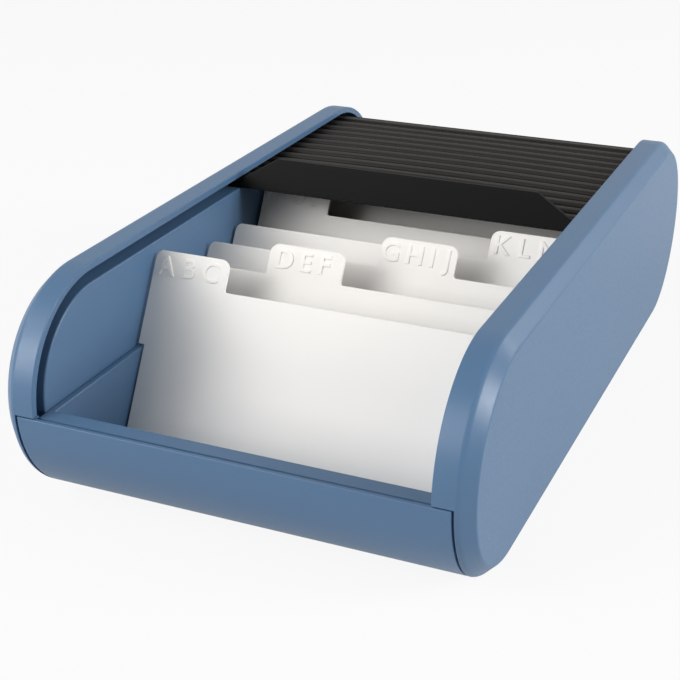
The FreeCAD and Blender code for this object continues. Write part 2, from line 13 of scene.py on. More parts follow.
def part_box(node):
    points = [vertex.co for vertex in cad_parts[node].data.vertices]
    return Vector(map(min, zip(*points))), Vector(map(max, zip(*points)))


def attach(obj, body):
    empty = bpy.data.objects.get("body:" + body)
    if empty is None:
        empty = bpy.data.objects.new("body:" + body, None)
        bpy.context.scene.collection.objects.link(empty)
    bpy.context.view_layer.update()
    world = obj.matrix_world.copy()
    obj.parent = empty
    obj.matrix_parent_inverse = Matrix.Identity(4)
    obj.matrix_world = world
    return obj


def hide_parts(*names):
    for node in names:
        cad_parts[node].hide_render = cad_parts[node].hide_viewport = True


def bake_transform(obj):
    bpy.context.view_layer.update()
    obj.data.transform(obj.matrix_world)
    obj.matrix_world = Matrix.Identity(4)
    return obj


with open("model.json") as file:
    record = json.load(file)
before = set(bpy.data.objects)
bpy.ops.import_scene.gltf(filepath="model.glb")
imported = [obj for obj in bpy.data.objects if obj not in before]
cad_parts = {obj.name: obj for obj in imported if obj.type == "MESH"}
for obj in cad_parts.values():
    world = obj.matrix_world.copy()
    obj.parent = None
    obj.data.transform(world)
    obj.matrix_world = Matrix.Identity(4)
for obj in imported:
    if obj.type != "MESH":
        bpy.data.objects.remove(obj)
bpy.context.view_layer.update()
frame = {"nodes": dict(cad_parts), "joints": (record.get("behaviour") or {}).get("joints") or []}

bl_info = {
    "name": "Business card box",
    "version": (1, 0, 0),
    "blender": (4, 5, 0),
    "location": "3D Viewport > Sidebar > Card Box",
    "description": "Models and finishes a card box with a roller shutter around its packed frame",
    "category": "Add Mesh",
}

# Modelling
MM = 0.001
TINY = 0.02 * MM  # lengths that differ by less are the same
DOUBLES = TINY / 10  # vertices that lie closer than this in a fine mesh are one
PAST = 1.0 * MM  # how far a cutting block reaches past what it cuts
FACING = 0.99  # a face looks along an axis if its unit normal has more than this along it
SHARP = 40.0  # degrees between two faces from which the edge between them is sharp
RIB_SHARP, BAR_SHARP, DIVIDER_SHARP = 35.0, 25.0, 60.0  # the same, on pieces that need their own
QUARTER_STEPS = 32  # flats in a quarter of the case's round ends
CROWN_STRIPS = 16  # strips across the sheet that its bow is drawn with

# Places that the frame gives
CHEEK_LOW, CHEEK_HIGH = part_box("right_cheek")
LINER_LOW, LINER_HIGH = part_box("right_liner")
HANDLE_LOW, HANDLE_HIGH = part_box("shutter_handle")
RUN_LOW, RUN_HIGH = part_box("shutter_top_run")
TRAY_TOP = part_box("card_tray")[1].z
DIVIDER_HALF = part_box("divider_1")[1].x
MIDDLE = (CHEEK_LOW.z + CHEEK_HIGH.z) / 2
HINGES = {joint["child"]: Vector(joint["pos_m"]) for joint in frame["joints"] if joint["type"] == "hinge"}

# Tabs of the dividers
TAB_LETTERS = ("ABC", "DEF", "GHIJ", "KLM", "NOP", "QRS", "TUV", "WXYZ")
TABS_ACROSS = 4  # places for a tab across the width
CAPITAL_SHARE = 0.73  # height of a capital in Blender's own font, as a share of its size

# Surfaces
DRIFT_PATCH = 34.0  # mm, patches of slightly different tone on a moulding
NOISE_LOW, NOISE_HIGH = 0.3, 0.7  # nearly all of a noise lies between these
SPARK_DEPTH = 0.1 * MM  # depth of the mould's texture
PLASTIC_IOR = 1.53  # ABS, PVC and rubber; polystyrene is a little higher

# Floor, light and camera
FLOOR_SIZE = 6.0  # metres
FLOOR_PAPER = "#dddddd"
WHITE = (1.0, 1.0, 1.0, 1.0)
FLOOR_WHITE = 0.9  # share of the floor that is seen as plain white; the rest takes the shadow
FLOOR_MIRRORED = 0.4  # how white the floor is to a reflection
ROOM_MIRRORED = 0.65  # how white the room is to a reflection
ROOM_LIGHT = 0.14  # strength of the even light from all round
LAMPS = (  # name, place in metres, side of the square in metres, power in watts
    ("softbox_front_low", (-0.76, -1.02, 0.5), 0.6, 7.1),
    ("softbox_front_high", (-0.54, -0.95, 0.86), 0.8, 7.7),
    ("key_left", (-1.0, -0.3, 0.85), 0.4, 2.0),
    ("softbox_right_low", (1.42, 0.18, 0.56), 0.5, 16.6),
    ("softbox_right_high", (1.0, -0.2, 0.95), 0.7, 2.0),
    ("softbox_behind", (0.66, 0.85, 0.5), 0.3, 1.4),
)
CAMERA_PLACE = (156.722 * MM, -395.756 * MM, 212.137 * MM)
CAMERA_TURNS = (24.013, 24.586, -0.440)  # degrees: to the left, down, and about the line of sight
CAMERA_LENS, CAMERA_SENSOR = 74.710, 36.0  # mm: focal length and width of the picture
CAMERA_NEAREST = 10.0 * MM


def linear(code):
    """An sRGB hex colour as linear red, green and blue."""
    shares = [int(code[place:place + 2], 16) / 255 for place in (1, 3, 5)]
    return tuple(v / 12.92 if v <= 0.04045 else ((v + 0.055) / 1.055) ** 2.4 for v in shares)


def length(name, description, millimetres):
    """A length of the panel, given in millimetres and held in metres."""
    return FloatProperty(name=name, description=description, default=millimetres * MM, min=0.0,
                         precision=5, unit="LENGTH", subtype="DISTANCE")


def angle(name, description, degrees):
    """An angle of the panel, given in degrees."""
    return FloatProperty(name=name, description=description, default=math.radians(degrees),
                         unit="ROTATION", subtype="ANGLE")


def colour(name, description, code):
    """A colour of the panel, given as sRGB hex."""
    return FloatVectorProperty(name=name, description=description, default=linear(code), size=3,
                               min=0.0, max=1.0, subtype="COLOR")


class CaseSizes(PropertyGroup):
    """Mouldings of the case."""
    chamfer: length("Chamfer", "Bevel round a cheek's outer face", 3.7)
    rim_soft: length("Rim softness", "Rounding where the chamfer meets the rim", 0.95)
    face_soft: length("Face softness", "Rounding where the chamfer meets the outer face", 0.45)
    rim_wall: length("Rim wall", "Wall of a cheek's rim", 2.2)
    plate: length("Plate", "Wall of a cheek's outer face", 2.0)
    seam_inset: length("Seam inset", "From a cheek's outer face to the shoulder at the seam", 4.6)
    seam_depth: length("Seam depth", "From the surface down to the step in the seam", 1.0)
    seam_floor: length("Seam floor", "Step at the bottom of the seam, sideways", 0.55)
    top_seam: length("Top seam", "From the case's middle up to the lower edge of a cheek's rim", 0.12)
    lip_drop: length("Lip drop", "From the case's middle down to the shell's top edge", 0.4)
    liner_plate: length("Liner plate", "Wall of a liner", 1.5)
    liner_ring: length("Liner ring", "Wall of the ring that carries the shutter's edge", 1.6)
    liner_edge: length("Liner edge", "Rounding of a liner's rim", 0.55)
    ledge_edge: length("Ledge edge", "Rounding of the tray's ledge", 0.5)
    edge: length("Edge radius", "Rounding of the mouldings' sharp edges", 0.35)


class DividerSizes(PropertyGroup):
    """Index dividers."""
    lean: angle("Lean", "How far the dividers lean back", 30.0)
    wall: length("Thickness", "Thickness of a divider", 0.9)
    lower_half: length("Lower half width", "From the middle to the edge below the ledge", 54.5)
    shoulder: length("Shoulder", "From the foot's centre up to the wider part", 29.16)
    height: length("Height", "From the foot's centre to the top edge", 48.6)
    tab_height: length("Tab height", "Tab above the top edge", 9.7)
    tab_gap: length("Tab gap", "Sideways, between one tab and the next", 4.4)
    corner: length("Corner radius", "Rounded corners of tabs and dividers", 3.0)
    notch: length("Notch radius", "Fillet where a tab meets the top edge", 0.8)
    edge: length("Edge radius", "Rounding of a divider's rim", 0.2)
    letter_height: length("Letter height", "Capitals on the tabs", 6.1)
    letter_base: length("Letter base", "From a divider's top edge up to its letters", 2.3)
    letter_gap: length("Letter gap", "Between one letter and the next", 2.6)
    letter_weight: length("Letter weight", "Added all round a letter's strokes", 0.16)
    letter_shift: length("Letter shift", "How far the letters stand left of a tab's middle", 0.8)
    letter_proud: length("Letter relief", "How far the letters stand proud", 0.36)


class ShutterSizes(PropertyGroup):
    """Ribbed sheet and its leading bar."""
    pitch: length("Rib pitch", "From rib to rib along the travel", 6.3)
    rib_width: length("Rib width", "Width of a rib along the travel", 3.9)
    rib_height: length("Rib height", "Ribs above the sheet", 1.2)
    rib_round: length("Rib rounding", "Rounding of a rib's upper edges", 1.0)
    rib_foot: length("Rib foot", "Fillet between a rib's rear side and the sheet", 0.4)
    crown: length("Crown", "How far the sheet bows up in the middle", 0.9)
    fin_height: length("Fin height", "Fin above the underside of the leading bar", 10.5)
    fin_wall: length("Fin wall", "Thickness of the grip fin", 1.6)
    fin_side: length("Fin clearance", "Between the fin's foot and the rims", 0.4)
    fin_lean: angle("Fin lean", "How far the grip fin leans back", 15.0)
    corner_side: length("Cut corner, across", "Cut corner of the fin, sideways", 12.6)
    corner_rise: length("Cut corner, down", "Cut corner of the fin, downwards", 7.5)
    bar_height: length("Bar height", "Leading bar behind the fin", 2.2)
    edge: length("Edge radius", "Rounding of the leading bar's edges", 0.28)
    lower_edge: length("Lower edge radius", "Rounding of the ribs on the lower run", 0.4)


class Finishes(PropertyGroup):
    """Colours of the mouldings."""
    blue: colour("Blue", "Case, liners and tray", "#527192")
    black: colour("Black", "Ribbed shutter sheet", "#272522")
    grip: colour("Grip black", "Leading bar of the shutter", "#101010")
    white: colour("White", "Index dividers", "#f6f3ee")
    rubber: colour("Rubber", "Feet", "#2a2a2b")


class CardBoxSettings(PropertyGroup):
    """Everything that the panel shows."""
    case: PointerProperty(type=CaseSizes)
    divider: PointerProperty(type=DividerSizes)
    shutter: PointerProperty(type=ShutterSizes)
    finish: PointerProperty(type=Finishes)


def make_active(piece):
    """Leaves just this piece selected, and active."""
    bpy.ops.object.select_all(action="DESELECT")
    piece.select_set(True)
    bpy.context.view_layer.objects.active = piece


def apply_place():
    """Moves the selected object's place, turn and scale into its mesh."""
    bpy.ops.object.transform_apply(location=True, rotation=True, scale=True)


def add_block(name, low, high):
    """A block between two corners, whose object sits at the origin."""
    bpy.ops.object.select_all(action="DESELECT")
    low, high = Vector(low), Vector(high)
    bpy.ops.mesh.primitive_cube_add(size=1.0, location=(low + high) / 2, scale=high - low)
    apply_place()
    piece = bpy.context.object
    piece.name = piece.data.name = name
    return piece


def edit(piece):
    """Opens a piece in edit mode with nothing selected."""
    make_active(piece)
    bpy.ops.object.mode_set(mode="EDIT")
    bpy.ops.mesh.select_all(action="DESELECT")


def end_edit():
    """Back to object mode."""
    bpy.ops.object.mode_set(mode="OBJECT")


def select_where(kind, test):
    """In edit mode, selects just the faces or the edges that pass a test."""
    bpy.ops.mesh.select_mode(type=kind)
    bpy.ops.mesh.select_all(action="DESELECT")
    mesh = bmesh.from_edit_mesh(bpy.context.object.data)
    found = [item for item in (mesh.faces if kind == "FACE" else mesh.edges) if test(item)]
    for item in found:
        item.select_set(True)
    if not found:
        raise RuntimeError(f"{bpy.context.object.name}: no {kind.lower()} to select")
    bmesh.update_edit_mesh(bpy.context.object.data)


def near(first, second):
    """Whether two lengths are the same."""
    return abs(first - second) < TINY


def looks(face, axis, sign=1):
    """Whether a face looks along an axis."""
    return face.normal[axis] * sign > FACING


def faces_towards(axis, sign, place):
    """A test for flat faces that look along an axis and lie at a place on it."""
    def test(face):
        return looks(face, axis, sign) and near(face.calc_center_median()[axis], place)
    return test


def edges_along(axis, spots):
    """A test for edges along an axis through any of the spots, given on the other two axes."""
    others = [a for a in range(3) if a != axis]

    def test(edge):
        first, second = (vertex.co for vertex in edge.verts)
        if not all(near(first[a], second[a]) for a in others):
            return False
        return any(all(near(first[a], value) for a, value in zip(others, spot)) for spot in spots)
    return test


def edges_level(axis, place):
    """A test for edges that lie at one place on an axis."""
    def test(edge):
        return all(near(vertex.co[axis], place) for vertex in edge.verts)
    return test


def extrude(move):
    """Extrudes the selected faces by a move."""
    bpy.ops.mesh.extrude_region_move(TRANSFORM_OT_translate={"value": move})


def round_edges(size, steps):
    """Bevels the selected edges."""
    bpy.ops.mesh.bevel(offset=size, segments=steps, affect="EDGES", clamp_overlap=False)


def round_border(sign, place, size, steps):
    """Bevels the borders of the open piece's face that looks sideways at a place."""
    select_where("FACE", faces_towards(0, sign, place))
    bpy.ops.mesh.region_to_loop()
    round_edges(size, steps)


def slice_at(place, normal, drop=False):
    """Cuts the whole open piece with a plane, and with drop takes away what lies beyond it."""
    bpy.ops.mesh.select_all(action="SELECT")
    bpy.ops.mesh.bisect(plane_co=place, plane_no=normal, use_fill=drop, clear_outer=drop)


def merge_doubles(reach=TINY):
    """Merges the open piece's doubled vertices."""
    bpy.ops.mesh.select_all(action="SELECT")
    bpy.ops.mesh.remove_doubles(threshold=reach)


def dissolve_flats(degrees):
    """Joins faces of the open piece that meet flatter than an angle."""
    bpy.ops.mesh.select_all(action="SELECT")
    bpy.ops.mesh.dissolve_limited(angle_limit=math.radians(degrees))


def merge_piece(piece, reach=TINY):
    """Opens a piece to merge its doubled vertices, and closes it again."""
    edit(piece)
    merge_doubles(reach)
    end_edit()


def apply_modifier(piece, modifier):
    """Applies one modifier of a piece."""
    make_active(piece)
    bpy.ops.object.modifier_apply(modifier=modifier.name)


def cut(piece, tool):
    """Cuts a tool out of a piece, and removes the tool."""
    boolean = piece.modifiers.new("cut", "BOOLEAN")
    boolean.operation = "DIFFERENCE"
    boolean.object = tool
    boolean.solver = "EXACT"
    apply_modifier(piece, boolean)
    bpy.data.meshes.remove(tool.data)


def shade_smooth(limit):
    """Shades the active object smoothly but for its edges past an angle."""
    bpy.ops.object.shade_smooth_by_angle(angle=math.radians(limit))


def shade(piece, limit=SHARP):
    """Shades a piece smoothly over its roundings, with its flats kept flat."""
    make_active(piece)
    shade_smooth(limit)
    weighted = piece.modifiers.new("flat_faces", "WEIGHTED_NORMAL")
    weighted.keep_sharp = True
    apply_modifier(piece, weighted)


def soften(piece, size, steps=3, limit=SHARP):
    """Rounds the sharp edges of a piece and shades it."""
    bevel = piece.modifiers.new("soft_edges", "BEVEL")
    bevel.width = size
    bevel.segments = steps
    bevel.limit_method = "ANGLE"
    bevel.angle_limit = math.radians(limit)
    bevel.miter_outer = "MITER_ARC"
    apply_modifier(piece, bevel)
    merge_piece(piece, DOUBLES)
    shade(piece, limit)


def finish_piece(piece, body, slot, material, *nodes):
    """Gives a new piece its material, its body and the nodes that it stands for."""
    piece.data.materials.clear()
    piece.data.materials.append(material)
    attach(piece, body)
    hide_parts(*nodes)


def copy_node(node, name):
    """A merged copy of a node's mesh, with its flat faces whole again."""
    mesh = frame["nodes"][node].data.copy()
    mesh.name = name
    piece = bpy.data.objects.new(name, mesh)
    bpy.context.scene.collection.objects.link(piece)
    edit(piece)
    merge_doubles(DOUBLES)
    dissolve_flats(degrees=0.2)
    end_edit()
    return piece


def mirror_piece(piece, name):
    """The same moulding for the other side of the case, with its own mesh."""
    twin = piece.copy()
    twin.data = piece.data.copy()
    twin.name = twin.data.name = name
    bpy.context.scene.collection.objects.link(twin)
    twin.scale.x = -1.0
    make_active(twin)
    apply_place()
    edit(twin)
    bpy.ops.mesh.select_all(action="SELECT")
    bpy.ops.mesh.normals_make_consistent(inside=False)
    end_edit()
    # The copied normals lean the wrong way once they are mirrored, so the shading is made again
    bpy.ops.mesh.customdata_custom_splitnormals_clear()
    shade(twin)
    return twin


def add_stadium(name, left, right, inset=0.0):
    """A block with the case's side outline, ends half round, drawn in by inset."""
    low = (left, CHEEK_LOW.y + inset, CHEEK_LOW.z + inset)
    high = (right, CHEEK_HIGH.y - inset, CHEEK_HIGH.z - inset)
    piece = add_block(name, low, high)
    edit(piece)
    corners = [(y, z) for y in (low[1], high[1]) for z in (low[2], high[2])]
    select_where("EDGE", edges_along(0, corners))
    round_edges((high[2] - low[2]) / 2, QUARTER_STEPS)
    merge_doubles()
    end_edit()
    return piece


def hollow_face(piece, sign, place, wall, depth):
    """Sinks the face that looks sideways at a place, and leaves a wall all round."""
    edit(piece)
    select_where("FACE", faces_towards(0, sign, place))
    bpy.ops.mesh.inset(thickness=wall, depth=0.0, use_even_offset=True)
    extrude((-sign * depth, 0.0, 0.0))
    end_edit()


def add_node(tree, kind, settings=None, inputs=None):
    """Adds a node with its settings; an input is a value or another node's output."""
    node = tree.nodes.new(kind)
    for name, value in (settings or {}).items():
        setattr(node, name, value)
    for name, value in (inputs or {}).items():
        if isinstance(value, bpy.types.NodeSocket):
            tree.links.new(value, node.inputs[name])
        else:
            node.inputs[name].default_value = value
    return node


def per_metre(millimetres):
    """Scale of a noise whose grains are so many millimetres across."""
    return 1.0 / (millimetres * MM)


def moulded_plastic(name, base, drift, roughness, spread, grain, relief, specular):
    """A moulded plastic: a colour that drifts a little, and a fine spark texture from the mould.

    The colour drifts by a share of itself and the roughness by spread, either way. The real texture is
    about 0.1 mm across, and its grain, in millimetres, is coarser here so that it shows.
    """
    material = bpy.data.materials.get(name)
    if material:
        return material
    material = bpy.data.materials.new(name)
    material.use_nodes = True
    tree = material.node_tree
    tree.nodes.clear()
    place = add_node(tree, "ShaderNodeTexCoord").outputs["Object"]
    cloud = add_node(tree, "ShaderNodeTexNoise", inputs={
        "Vector": place, "Scale": per_metre(DRIFT_PATCH), "Detail": 2.0, "Roughness": 0.55})
    dark = [channel * (1.0 - drift) for channel in base]
    light = [min(1.0, channel * (1.0 + drift)) for channel in base]
    tone = add_node(tree, "ShaderNodeMix", {"data_type": "RGBA"}, {
        "Factor": cloud.outputs["Fac"], "A": (*dark, 1.0), "B": (*light, 1.0)})
    spark = add_node(tree, "ShaderNodeTexNoise", inputs={
        "Vector": place, "Scale": per_metre(grain), "Detail": 2.0, "Roughness": 0.6})
    sheen = add_node(tree, "ShaderNodeMapRange", inputs={
        "Value": spark.outputs["Fac"], "From Min": NOISE_LOW, "From Max": NOISE_HIGH,
        "To Min": roughness - spread, "To Max": roughness + spread})
    bump = add_node(tree, "ShaderNodeBump", inputs={
        "Height": spark.outputs["Fac"], "Strength": relief, "Distance": SPARK_DEPTH})
    shader = add_node(tree, "ShaderNodeBsdfPrincipled", inputs={
        "Base Color": tone.outputs["Result"], "Roughness": sheen.outputs["Result"],
        "Normal": bump.outputs["Normal"], "Specular IOR Level": specular, "IOR": PLASTIC_IOR})
    add_node(tree, "ShaderNodeOutputMaterial", inputs={"Surface": shader.outputs["BSDF"]})
    return material


def blue_abs(finish):
    """Satin moulded ABS, spark eroded: soft wide highlights on an even greyed blue."""
    return moulded_plastic("satin_moulded_abs_blue", finish.blue, drift=0.03, roughness=0.35,
                           spread=0.04, grain=0.6, relief=0.06, specular=0.34)


def shutter_plastic(finish):
    """Extruded flexible PVC: a dull warm black that lightens on the crests of the ribs."""
    return moulded_plastic("extruded_pvc_black", finish.black, drift=0.06, roughness=0.5,
                           spread=0.06, grain=0.8, relief=0.12, specular=0.12)


def grip_plastic(finish):
    """Satin moulded ABS of the leading bar: an even black, smoother than the sheet."""
    return moulded_plastic("smooth_moulded_abs_black", finish.grip, drift=0.05, roughness=0.42,
                           spread=0.04, grain=0.5, relief=0.05, specular=0.06)


def divider_plastic(finish):
    """Matte moulded polystyrene: a clean white with hardly any shine."""
    return moulded_plastic("matte_moulded_polystyrene_white", finish.white, drift=0.012, roughness=0.52,
                           spread=0.05, grain=0.7, relief=0.06, specular=0.3)


def foot_rubber(finish):
    """Moulded rubber: a dull charcoal with a dusty grain."""
    return moulded_plastic("moulded_rubber_charcoal", finish.rubber, drift=0.1, roughness=0.8,
                           spread=0.08, grain=0.5, relief=0.3, specular=0.25)


class CARDBOX_OT_shell(Operator):
    """Rounds the edges of the base shell, and lowers its lip so that the groove behind it shows"""
    bl_idname = "cardbox.shell"
    bl_label = "Base shell"

    def execute(self, context):
        settings = context.scene.card_box
        shell = copy_node("base_shell", "base_shell_moulding")
        edit(shell)
        slice_at((0.0, 0.0, MIDDLE - settings.case.lip_drop), (0.0, 0.0, 1.0), drop=True)
        end_edit()
        soften(shell, settings.case.edge)
        finish_piece(shell, "case", "blue_abs", blue_abs(settings.finish), "base_shell")
        return {"FINISHED"}


def borders_ledge(edge):
    """Whether an edge at the tray's top runs front to rear, or lies clear of the liners."""
    first, second = (vertex.co for vertex in edge.verts)
    if not (near(first.z, TRAY_TOP) and near(second.z, TRAY_TOP)):
        return False
    return near(first.x, second.x) or max(abs(first.x), abs(second.x)) < LINER_LOW.x - MM


class CARDBOX_OT_tray(Operator):
    """Rounds the edges of the card tray, so that its ledges and ridges catch the light"""
    bl_idname = "cardbox.tray"
    bl_label = "Card tray"

    def execute(self, context):
        settings = context.scene.card_box
        tray = copy_node("card_tray", "card_tray_moulding")
        edit(tray)
        select_where("EDGE", borders_ledge)
        round_edges(settings.case.ledge_edge, steps=3)
        end_edit()
        soften(tray, settings.case.edge)
        finish_piece(tray, "case", "blue_abs", blue_abs(settings.finish), "card_tray")
        return {"FINISHED"}


class CARDBOX_OT_lower_run(Operator):
    """Finishes the shutter's run round the rear curve and under the tray, whose shape the frame has"""
    bl_idname = "cardbox.lower_run"
    bl_label = "Shutter's lower run"

    def execute(self, context):
        settings = context.scene.card_box
        sheet = copy_node("shutter_return_run", "shutter_lower_run")
        soften(sheet, settings.shutter.lower_edge)
        finish_piece(sheet, "case", "black_shutter", shutter_plastic(settings.finish), "shutter_return_run")
        return {"FINISHED"}


class CARDBOX_OT_cheeks(Operator):
    """Models both cheeks: a plate with a chamfered rim, cut back below for the base shell"""
    bl_idname = "cardbox.cheeks"
    bl_label = "Cheeks"

    def execute(self, context):
        settings = context.scene.card_box
        sizes = settings.case
        rim_face, outer = CHEEK_LOW.x, CHEEK_HIGH.x
        cheek = add_stadium("right_cheek_moulding", rim_face, outer)
        edit(cheek)
        round_border(1, outer, sizes.chamfer, steps=1)
        select_where("EDGE", edges_level(0, outer - sizes.chamfer))
        round_edges(sizes.rim_soft, steps=5)
        round_border(1, outer, sizes.face_soft, steps=4)
        end_edit()
        hollow_face(cheek, -1, rim_face, sizes.rim_wall, outer - sizes.plate - rim_face)
        edit(cheek)
        round_border(-1, rim_face, sizes.edge, steps=3)
        end_edit()
        self.cut_back(cheek, sizes)
        merge_piece(cheek)
        shade(cheek)
        left = mirror_piece(cheek, "left_cheek_moulding")
        for piece, node in ((cheek, "right_cheek"), (left, "left_cheek")):
            finish_piece(piece, "case", "blue_abs", blue_abs(settings.finish), node)
        return {"FINISHED"}

    def cut_back(self, cheek, sizes):
        """Makes room below the middle for the base shell, with a stepped seam beside it."""
        low = CHEEK_LOW - Vector((PAST, PAST, PAST))
        rear = CHEEK_HIGH.y + PAST
        top = MIDDLE + sizes.top_seam
        shoulder = CHEEK_HIGH.x - sizes.seam_inset
        step = shoulder - sizes.seam_floor
        cut(cheek, add_block("shell_room", low, (step, rear, top)))
        groove = add_block("seam_room", (step - TINY, low.y, low.z), (shoulder, rear, top))
        cut(groove, add_stadium("seam_step", step - PAST, shoulder + PAST, sizes.seam_depth))
        cut(cheek, groove)


class CARDBOX_OT_liners(Operator):
    """Models both liners: a flat plate with a ring under the shutter's edge"""
    bl_idname = "cardbox.liners"
    bl_label = "Liners"

    def execute(self, context):
        settings = context.scene.card_box
        sizes = settings.case
        inset = LINER_LOW.z - CHEEK_LOW.z
        depth = LINER_HIGH.x - LINER_LOW.x - sizes.liner_plate
        liner = add_stadium("right_liner_moulding", LINER_LOW.x, LINER_HIGH.x, inset)
        hollow_face(liner, 1, LINER_HIGH.x, sizes.liner_ring, depth)
        soften(liner, sizes.liner_edge, steps=5)
        left = mirror_piece(liner, "left_liner_moulding")
        for piece, node in ((liner, "right_liner"), (left, "left_liner")):
            finish_piece(piece, "case", "blue_abs", blue_abs(settings.finish), node)
        return {"FINISHED"}


def model_divider(name, place, sizes):
    """An upright divider about its foot, with the tab of its place in the row, and that tab's middle."""
    half, wall = DIVIDER_HALF, sizes.wall / 2
    tab = (2 * half - (TABS_ACROSS - 1) * sizes.tab_gap) / TABS_ACROSS
    left = -half + (place % TABS_ACROSS) * (tab + sizes.tab_gap)
    right = left + tab
    top = sizes.height + sizes.tab_height
    piece = add_block(name, (-sizes.lower_half, -wall, -wall), (sizes.lower_half, wall, sizes.shoulder))
    edit(piece)
    # The wider part: up from the shoulder, then out to both sides
    select_where("FACE", faces_towards(2, 1, sizes.shoulder))
    extrude((0.0, 0.0, sizes.height - sizes.shoulder))
    for side in (-1, 1):
        select_where("FACE", lambda face: looks(face, 0, side)
                     and face.calc_center_median().z > sizes.shoulder)
        extrude((side * (half - sizes.lower_half), 0.0, 0.0))
    # The tab, on its stretch of the top edge
    inner = [x for x in (left, right) if abs(x) < half - TINY]
    for x in inner:
        slice_at((x, 0.0, 0.0), (1.0, 0.0, 0.0))
    select_where("FACE", lambda face: looks(face, 2) and near(face.calc_center_median().z, sizes.height)
                 and left < face.calc_center_median().x < right)
    extrude((0.0, 0.0, sizes.tab_height))
    # The corners of the tab and of the top edge, and the notches beside the tab
    corners = [(left, top), (right, top)]
    corners += [(x, sizes.height) for x in (-half, half) if not (near(x, left) or near(x, right))]
    select_where("EDGE", edges_along(1, corners))
    round_edges(sizes.corner, steps=8)
    select_where("EDGE", edges_along(1, [(x, sizes.height) for x in inner]))
    round_edges(sizes.notch, steps=4)
    merge_doubles()
    dissolve_flats(degrees=1.0)
    end_edit()
    soften(piece, sizes.edge, steps=2, limit=DIVIDER_SHARP)
    return piece, (left + right) / 2


def add_letter(letter, sizes):
    """One raised capital, in the divider's upright pose, and its left and right edge."""
    bpy.ops.object.select_all(action="DESELECT")
    bpy.ops.object.text_add(location=(0.0, -sizes.wall / 2, sizes.height + sizes.letter_base),
                            rotation=(math.radians(90.0), 0.0, 0.0))
    text = bpy.context.object.data
    soft = sizes.letter_proud / 2
    text.body = letter
    text.size = sizes.letter_height / CAPITAL_SHARE
    text.extrude = sizes.letter_proud - soft
    text.bevel_depth = soft
    text.bevel_resolution = 2
    text.offset = sizes.letter_weight - soft
    bpy.ops.object.convert(target="MESH")
    apply_place()
    piece = bpy.context.object
    merge_piece(piece, DOUBLES)
    shade_smooth(SHARP)
    places = [vertex.co.x for vertex in piece.data.vertices]
    return piece, min(places), max(places)


def add_letters(letters, middle, sizes):
    """A tab's letters with an even gap between them, about the tab's middle."""
    pieces = [add_letter(letter, sizes) for letter in letters]
    span = sum(right - left for _, left, right in pieces) + (len(letters) - 1) * sizes.letter_gap
    place = middle - sizes.letter_shift - span / 2
    for piece, left, right in pieces:
        make_active(piece)
        bpy.ops.transform.translate(value=(place - left, 0.0, 0.0))
        apply_place()
        place += right - left + sizes.letter_gap
    return [piece for piece, _, _ in pieces]


class CARDBOX_OT_dividers(Operator):
    """Models the eight index dividers with their tabs and raised letters"""
    bl_idname = "cardbox.dividers"
    bl_label = "Index dividers"

    def execute(self, context):
        settings = context.scene.card_box
        sizes = settings.divider
        for place, letters in enumerate(TAB_LETTERS):
            node = f"divider_{place + 1}"
            piece, middle = model_divider(f"{node}_leaf", place, sizes)
            raised = add_letters(letters, middle, sizes)
            make_active(piece)
            for letter in raised:
                letter.select_set(True)
            bpy.ops.object.join()
            piece.rotation_euler.x = -sizes.lean
            piece.location = HINGES[node]
            make_active(piece)
            apply_place()
            finish_piece(piece, node, "white_divider", divider_plastic(settings.finish), node)
        return {"FINISHED"}


def model_slat(name, low_y, high_y, along, sizes):
    """A strip of sheet with one rib on it, bowed up between the rims as its place along the run asks."""
    half = RUN_HIGH.x
    sheet_top = RUN_HIGH.z - sizes.rib_height
    rib_rear = high_y - sizes.pitch + sizes.rib_width
    slat = add_block(name, (-half, low_y, RUN_LOW.z), (half, high_y, sheet_top))
    edit(slat)
    slice_at((0.0, rib_rear, 0.0), (0.0, 1.0, 0.0))
    select_where("FACE", lambda face: looks(face, 2) and face.calc_center_median().y < rib_rear)
    extrude((0.0, 0.0, sizes.rib_height))
    select_where("EDGE", edges_along(0, [(y, RUN_HIGH.z) for y in (low_y, rib_rear)]))
    round_edges(sizes.rib_round, steps=5)
    select_where("EDGE", edges_along(0, [(rib_rear, sheet_top)]))
    round_edges(sizes.rib_foot, steps=3)
    for strip in range(1, CROWN_STRIPS):
        slice_at((half * (2 * strip / CROWN_STRIPS - 1), 0.0, 0.0), (1.0, 0.0, 0.0))
    mesh = bmesh.from_edit_mesh(slat.data)
    rise = sizes.crown * math.sin(math.pi * along)
    for vertex in mesh.verts:
        vertex.co.z += rise * (1.0 - (vertex.co.x / half) ** 2)
    bmesh.update_edit_mesh(slat.data)
    end_edit()
    shade_smooth(RIB_SHARP)
    return slat


class CARDBOX_OT_slats(Operator):
    """Models the shutter's upper run rib by rib, one slat for each rib"""
    bl_idname = "cardbox.slats"
    bl_label = "Shutter sheet"

    def execute(self, context):
        settings = context.scene.card_box
        sizes = settings.shutter
        rear, front = RUN_HIGH.y, RUN_LOW.y
        count = math.floor((rear - front + TINY) / sizes.pitch)
        for index in range(count):
            high_y = rear - index * sizes.pitch
            low_y = front if index == count - 1 else high_y - sizes.pitch
            slat = model_slat(f"shutter_slat_{index + 1:02d}", low_y, high_y, (index + 0.5) / count, sizes)
            slat.data.materials.append(shutter_plastic(settings.finish))
            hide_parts("shutter_top_run")
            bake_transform(slat)
        return {"FINISHED"}


